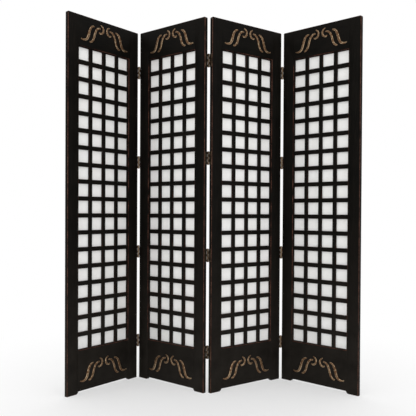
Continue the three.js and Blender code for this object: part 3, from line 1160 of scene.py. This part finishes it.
# The strokes of the left half of a scroll, as (across, up, width) in millimetres from the
# scroll's middle. The outer and inner stroke rise from their lower, outer ends, and the curl
# runs down from its top.
OUTER_STROKE = (
    (-148, -45, 4), (-137, -48, 7.5), (-124, -47, 10.5), (-113, -40.5, 12.5),
    (-105.5, -27, 13.8), (-99.5, -8, 13.8), (-94, 8, 12.8), (-87, 20.5, 11.5),
    (-78, 27.5, 9.5), (-66, 30, 6.5),
)
INNER_STROKE = (
    (-97, -50, 6), (-89, -50, 9.3), (-78.5, -42, 11), (-70.5, -26.5, 11.5),
    (-65.5, -9, 11.5), (-59.5, 7, 11), (-50, 20.5, 10.5), (-39.5, 26.5, 9.3), (-28, 28, 7.5),
)
CURL = (
    (-28, 46, 4), (-20.5, 42, 7), (-13.5, 34, 9.4), (-11.5, 23.5, 10.3),
    (-14.5, 12, 10.3), (-23.5, 5, 9.4), (-33.5, 4, 7.5), (-39.5, 8.5, 5),
)
STROKES = (OUTER_STROKE, INNER_STROKE, CURL)
CURVE_STEPS = 16  # between two knots


def stroke_curves():
    """The strokes as curves in X and Z whose radius is half the stroke's width."""
    curves = bpy.data.curves.new("strokes", "CURVE")
    curves.dimensions = "3D"
    curves.resolution_u = CURVE_STEPS
    for stroke in STROKES:
        spline = curves.splines.new("BEZIER")
        spline.bezier_points.add(len(stroke) - 1)
        for knot, (across, up, width) in zip(spline.bezier_points, stroke):
            knot.co = (across * MM, 0, up * MM)
            knot.radius = width * MM / 2
            knot.handle_left_type = "AUTO"
            knot.handle_right_type = "AUTO"
    return curves


class SCREEN_OT_scrolls(bpy.types.Operator):
    """Carve the gilt scrolls on the rails"""

    bl_idname = "folding_screen.scrolls"
    bl_label = "Scrolls"
    bl_options = {"REGISTER", "UNDO"}

    def execute(self, context):
        carving = context.scene.folding_screen.carving
        material = gilt(carving)
        widest = max(width for stroke in STROKES for _, _, width in stroke) * MM
        motif = grown(strokes_tree(), stroke_curves(), {
            "Sides": carving.sections,
            "Step": carving.step,
            "Steepness": carving.relief / (widest / 2),
            "Hollow": carving.hollow,
            "Material": material,
        })
        motif.shade_smooth()
        scroll = bpy.data.objects.new("scroll", motif)
        heights = (carving.top_height, carving.bottom_height)
        middles = points_mesh([(0, -HALF_THICKNESS, height) for height in heights])
        for panel, place in PLACES.items():
            mesh = grown(copies_tree(), middles, {"Piece": scroll, "Material": material})
            finished(f"panel{panel}_scrolls", mesh, place, panel)
        bpy.data.objects.remove(scroll)
        return {"FINISHED"}


# ----------------------------------------------------------------------------------- hinges

SMALL_EASE = 0.2 * MM  # rounding of the brass pieces' edges
ROUND_CORNERS = ((1, (90, 60, 30, 0)), (-1, (0, -30, -60, -90)))  # upper and lower, degrees
DOME_ANGLES = (0, 25, 50, 72)  # of a pin's button head, degrees


def knuckle_span(index, hinge, margin):
    """The lowest and highest point of a knuckle, in a hinge whose middle is at zero."""
    pitch = LEAF_HEIGHT / hinge.knuckles
    low = index * pitch - LEAF_HEIGHT / 2
    return low - margin, low + pitch + margin


def leaf_outline(first, hinge):
    """The outline of a leaf's plate that carries every second knuckle from first."""
    outline = []
    for index in range(hinge.knuckles):
        own = index % 2 == first
        edge = 0 if own else hinge.notch
        low, high = knuckle_span(index, hinge, (-1 if own else 1) * hinge.gap / 2)
        low = max(low, -LEAF_HEIGHT / 2)
        high = min(high, LEAF_HEIGHT / 2)
        outline += [(edge, low), (edge, high)]
    radius = hinge.corner
    for end, angles in ROUND_CORNERS:
        centre = (LEAF_REACH - radius, end * (LEAF_HEIGHT / 2 - radius))
        outline += arc(centre, (radius, radius), map(math.radians, angles))
    return outline


def screw_places(hinge):
    """The middles of a leaf's three screws, as (across, up)."""
    line = (hinge.notch + LEAF_REACH) / 2
    return [
        (line + (1 if step == 0 else -1) * hinge.screw_stagger / 2, step * hinge.screw_pitch)
        for step in (-1, 0, 1)
    ]


def plate_mesh(first, hinge):
    """The flat of a leaf, with its holes and eased edges, in hinge coordinates.

    It is drawn lying in X and Y, and then stood up in Y and Z.
    """
    flat = bpy.data.curves.new("plate", "CURVE")
    flat.dimensions = "2D"
    flat.fill_mode = "BOTH"
    flat.extrude = hinge.thickness / 2 - SMALL_EASE
    flat.bevel_depth = SMALL_EASE
    flat.bevel_resolution = 1
    flat.offset = -SMALL_EASE
    radius = hinge.screw_radius + 2 * SMALL_EASE
    holes = [
        arc(centre, (radius, radius), full_turn(hinge.sides)) for centre in screw_places(hinge)
    ]
    for loop in (leaf_outline(first, hinge), *holes):
        spline = flat.splines.new("POLY")
        spline.points.add(len(loop) - 1)
        for knot, (x, y) in zip(spline.points, loop):
            knot.co = (x, y, 0, 1)
        spline.use_cyclic_u = True
    holder = bpy.data.objects.new("plate", flat)
    mesh = bpy.data.meshes.new_from_object(holder)
    bpy.data.objects.remove(holder)
    depth = KNUCKLE_RADIUS - hinge.thickness / 2
    upright = Matrix(((0, 0, 1, depth), (1, 0, 0, 0), (0, 1, 0, 0), (0, 0, 0, 1)))
    mesh.transform(upright)
    return mesh


def leaf_object(first, hinge):
    """A leaf with its knuckles, in hinge coordinates, with its middle at zero."""
    form = bmesh.new()
    form.from_mesh(plate_mesh(first, hinge))
    bmesh.ops.remove_doubles(form, verts=form.verts, dist=WELD)
    bore = hinge.pin_radius + hinge.gap
    for index in range(first, hinge.knuckles, 2):
        low, high = knuckle_span(index, hinge, -hinge.gap / 2)
        turned(form, [
            (bore, low),
            (KNUCKLE_RADIUS - SMALL_EASE, low),
            (KNUCKLE_RADIUS, low + SMALL_EASE),
            (KNUCKLE_RADIUS, high - SMALL_EASE),
            (KNUCKLE_RADIUS - SMALL_EASE, high),
            (bore, high),
        ], hinge.sides, ring=True)
    bmesh.ops.recalc_face_normals(form, faces=form.faces)
    return bpy.data.objects.new("leaf", to_mesh(form, "leaf"))


def pin_object(hinge):
    """A pin with a button head at each end, with its middle at zero."""
    shank = LEAF_HEIGHT / 2 + hinge.gap
    size = (hinge.head_radius, hinge.head_height)
    dome = arc((0, shank), size, map(math.radians, DOME_ANGLES))
    half = [(hinge.pin_radius, shank), *dome, (0, shank + hinge.head_height)]
    lower = [(radius, -height) for radius, height in reversed(half)]
    form = bmesh.new()
    turned(form, lower + half, hinge.sides)
    bmesh.ops.recalc_face_normals(form, faces=form.faces)
    return bpy.data.objects.new("pin", to_mesh(form, "pin"))


def screw_object(hinge):
    """A slotted screw head whose flat looks along -X, with its flat at zero."""
    half_slot = 0.45 * MM
    slot_floor = -0.7 * MM
    bottom = -1.7 * MM
    taper = 0.8  # radius at the bottom, as a share of the radius above
    sides = 16
    steps = 4  # half the facets of the rim on each side of the slot
    radius = hinge.screw_radius
    form = bmesh.new()
    turned(form, [
        (0, bottom), (radius * taper, bottom), (radius, slot_floor), (0, slot_floor),
    ], sides)
    widest = math.acos(half_slot / radius)
    angles = [widest * (step / steps - 1) for step in range(2 * steps + 1)]
    for side in (1, -1):
        rim = arc((0, 0), (side * radius, radius), angles)
        heights = (slot_floor - SMALL_EASE, 0)
        rows = [[form.verts.new((x, y, height)) for x, y in rim] for height in heights]
        for row in rows:
            form.faces.new(row)
        for step in range(len(rim)):
            after = (step + 1) % len(rim)
            form.faces.new([rows[0][step], rows[0][after], rows[1][after], rows[1][step]])
    bmesh.ops.recalc_face_normals(form, faces=form.faces)
    to_minus_x = Matrix.Rotation(math.radians(-90), 4, "Y")
    bmesh.ops.transform(form, matrix=to_minus_x, verts=form.verts)
    return bpy.data.objects.new("screw", to_mesh(form, "screw"))


def hinge_nodes(left, right, part):
    """The names of one part of a joint's hinges, from the lowest up."""
    return [f"joint{left}{right}_hinge{number}_{part}" for number in HINGES]


def hinge_middles(left, right, place):
    """The middles of a joint's hinges in hinge coordinates."""
    inverse = place.inverted()
    return [inverse @ middle(node) for node in hinge_nodes(left, right, "pin")]


class SCREEN_OT_hinges(bpy.types.Operator):
    """Build the leaves, knuckles and pins of the hinges"""

    bl_idname = "folding_screen.hinges"
    bl_label = "Hinges"
    bl_options = {"REGISTER", "UNDO"}

    def execute(self, context):
        hinge = context.scene.folding_screen.hinge
        material = brass(hinge)
        first_leaf, second_leaf = leaf_object(0, hinge), leaf_object(1, hinge)
        pin = pin_object(hinge)
        for left, right in JOINTS:
            for piece, panel, name, part in (
                (first_leaf, left, f"leaves{left}", f"leaf{left}"),
                (second_leaf, right, f"leaves{right}", f"leaf{right}"),
                (pin, left, "pins", "pin"),
            ):
                place = hinge_place(left, right, panel)
                middles = points_mesh(hinge_middles(left, right, place))
                mesh = grown(copies_tree(), middles, {"Piece": piece, "Material": material})
                nodes = hinge_nodes(left, right, part)
                finished(f"joint{left}{right}_{name}", mesh, place, panel, nodes)
        for piece in (first_leaf, second_leaf, pin):
            bpy.data.objects.remove(piece)
        return {"FINISHED"}


class SCREEN_OT_screws(bpy.types.Operator):
    """Drive the screws into the hinges' leaves"""

    bl_idname = "folding_screen.screws"
    bl_label = "Screws"
    bl_options = {"REGISTER", "UNDO"}

    def execute(self, context):
        hinge = context.scene.folding_screen.hinge
        material = brass(hinge)
        screw = screw_object(hinge)
        flat = KNUCKLE_RADIUS - hinge.thickness + SMALL_EASE / 2  # just under the leaf's face
        for left, right in JOINTS:
            for panel in (left, right):
                place = hinge_place(left, right, panel)
                points = [
                    centre + Vector((flat, across, up))
                    for centre in hinge_middles(left, right, place)
                    for across, up in screw_places(hinge)
                ]
                mesh = grown(copies_tree(), points_mesh(points), {
                    "Piece": screw, "Most Turn": math.pi / 2, "Seed": left * 10 + panel,
                    "Material": material,
                })
                name = f"joint{left}{right}_screws{panel}"
                finished(name, mesh, place, panel)
        bpy.data.objects.remove(screw)
        return {"FINISHED"}


# ------------------------------------------------------------------------------------ stage

WHITE = (1, 1, 1)
FLOOR_SIDES = 64
SENSOR_WIDTH = 36  # millimetres
LAMPS = (  # name, place, size and power
    ("key", (3.2, -3.2, 0.8), 2.2, 21),
    ("fill", (-3.5, -2.9, 0.8), 2.2, 14),
    ("behind", (-1.0, 4.0, 1.5), 2.4, 4),
)


def seen_directly(tree):
    """1 for camera, glossy and transmission rays, which see the white background."""
    rays = tree.nodes.new("ShaderNodeLightPath").outputs
    bounced = calc(tree, "MAXIMUM", rays["Is Glossy Ray"], rays["Is Transmission Ray"])
    return calc(tree, "MAXIMUM", rays["Is Camera Ray"], bounced)


def make_world(sky):
    """A white surround that lights the screen at the sky's strength."""
    world = bpy.data.worlds.new("Surround")
    world.use_nodes = True
    bpy.context.scene.world = world
    tree = world.node_tree
    background = tree.nodes["Background"]
    background.inputs["Color"].default_value = opaque(WHITE)
    strength = ramp(tree, seen_directly(tree), 0.0, 1.0, sky, 1.0)
    tree.links.new(strength, background.inputs["Strength"])


def floor_material(stage):
    """A pale floor that keeps the screen's shadow and fades to white away from it."""
    mottle_scale = 3.0
    mottling = 0.02
    roughness = 0.9
    specular = 0.1
    fade_band = (0.5, 1.8, 0.45)  # metres from the middle, and the whiteness up to there
    material, tree, shader = new_material("Studio floor")
    place = object_place(tree)
    mottle = noise(tree, place, mottle_scale, detail=4.0, roughness=0.6)
    tone = calc(tree, "MULTIPLY", calc(tree, "SUBTRACT", mottle, 0.5), mottling)
    pale = vector_calc(tree, "ADD", tuple(stage.floor), vector(tree, tone, tone, tone))
    tree.links.new(pale, shader.inputs["Base Color"])
    shader.inputs["Roughness"].default_value = roughness
    shader.inputs["Specular IOR Level"].default_value = specular
    white = add(tree, "ShaderNodeEmission", {"Color": opaque(WHITE), "Strength": 1.0})
    away = add(tree, "ShaderNodeVectorMath", {0: place}, operation="LENGTH").outputs["Value"]
    fade = calc(tree, "MULTIPLY", ramp(tree, away, *fade_band), seen_directly(tree))
    both = add(tree, "ShaderNodeMixShader", {
        0: fade, 1: shader.outputs[0], 2: white.outputs[0],
    })
    tree.links.new(both.outputs[0], tree.nodes["Material Output"].inputs["Surface"])
    return material


def add_lamp(name, place, size, power):
    """A soft square lamp towards the screen's middle, which the camera doesn't see."""
    light = bpy.data.lights.new(name, "AREA")
    light.size = size
    light.energy = power
    lamp = bpy.data.objects.new(name, light)
    bpy.context.scene.collection.objects.link(lamp)
    lamp.location = place
    towards = Vector((0, 0, HEIGHT / 2)) - Vector(place)
    lamp.rotation_euler = towards.to_track_quat("-Z", "Y").to_euler()
    lamp.visible_camera = False


def add_camera(stage):
    """The camera, at the photograph's place and angle."""
    view = bpy.data.cameras.new("camera")
    view.lens = stage.lens
    view.sensor_width = SENSOR_WIDTH
    view.shift_x, view.shift_y = stage.shift
    camera = bpy.data.objects.new("camera", view)
    bpy.context.scene.collection.objects.link(camera)
    turn = Matrix.Rotation(stage.heading, 4, "Z")
    tilt = Matrix.Rotation(math.radians(90) - stage.dip, 4, "X")
    roll = Matrix.Rotation(stage.roll, 4, "Z")
    camera.matrix_world = Matrix.Translation(stage.eye) @ turn @ tilt @ roll
    bpy.context.scene.camera = camera


class SCREEN_OT_stage(bpy.types.Operator):
    """Set up the floor, the light and the camera"""

    bl_idname = "folding_screen.stage"
    bl_label = "Stage"
    bl_options = {"REGISTER", "UNDO"}

    def execute(self, context):
        stage = context.scene.folding_screen.stage
        context.scene.view_settings.view_transform = "Standard"
        form = bmesh.new()
        bmesh.ops.create_circle(
            form, cap_ends=True, segments=FLOOR_SIDES, radius=stage.floor_radius,
        )
        floor = bpy.data.objects.new("floor", to_mesh(form, "floor"))
        floor.data.materials.append(floor_material(stage))
        context.scene.collection.objects.link(floor)
        make_world(stage.sky)
        for lamp in LAMPS:
            add_lamp(*lamp)
        add_camera(stage)
        return {"FINISHED"}


# ------------------------------------------------------------------- panel and registration

STEPS = ("stage", "frames", "lattices", "papers", "scrolls", "hinges", "screws")


class SCREEN_PT_pieces(bpy.types.Panel):
    """Lists the pieces of the folding screen"""

    bl_idname = "SCREEN_PT_pieces"
    bl_label = "Folding Screen"
    bl_space_type = "VIEW_3D"
    bl_region_type = "UI"
    bl_category = "Screen"

    def draw(self, context):
        for step in STEPS:
            self.layout.operator(f"folding_screen.{step}")


CLASSES = (
    TimberSettings, LatticeSettings, PaperSettings, CarvingSettings, HingeSettings,
    StageSettings, ScreenSettings, SCREEN_OT_frames, SCREEN_OT_lattices, SCREEN_OT_papers,
    SCREEN_OT_scrolls, SCREEN_OT_hinges, SCREEN_OT_screws, SCREEN_OT_stage, SCREEN_PT_pieces,
)


def register():
    for item in CLASSES:
        bpy.utils.register_class(item)
    bpy.types.Scene.folding_screen = PointerProperty(
        type=ScreenSettings, name="Folding Screen", description="Settings of the folding screen",
    )


def unregister():
    del bpy.types.Scene.folding_screen
    for item in reversed(CLASSES):
        bpy.utils.unregister_class(item)


def main():
    """Builds every piece in order."""
    register()
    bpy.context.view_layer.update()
    for step in STEPS:
        getattr(bpy.ops.folding_screen, step)()


if __name__ == "__main__":
    main()
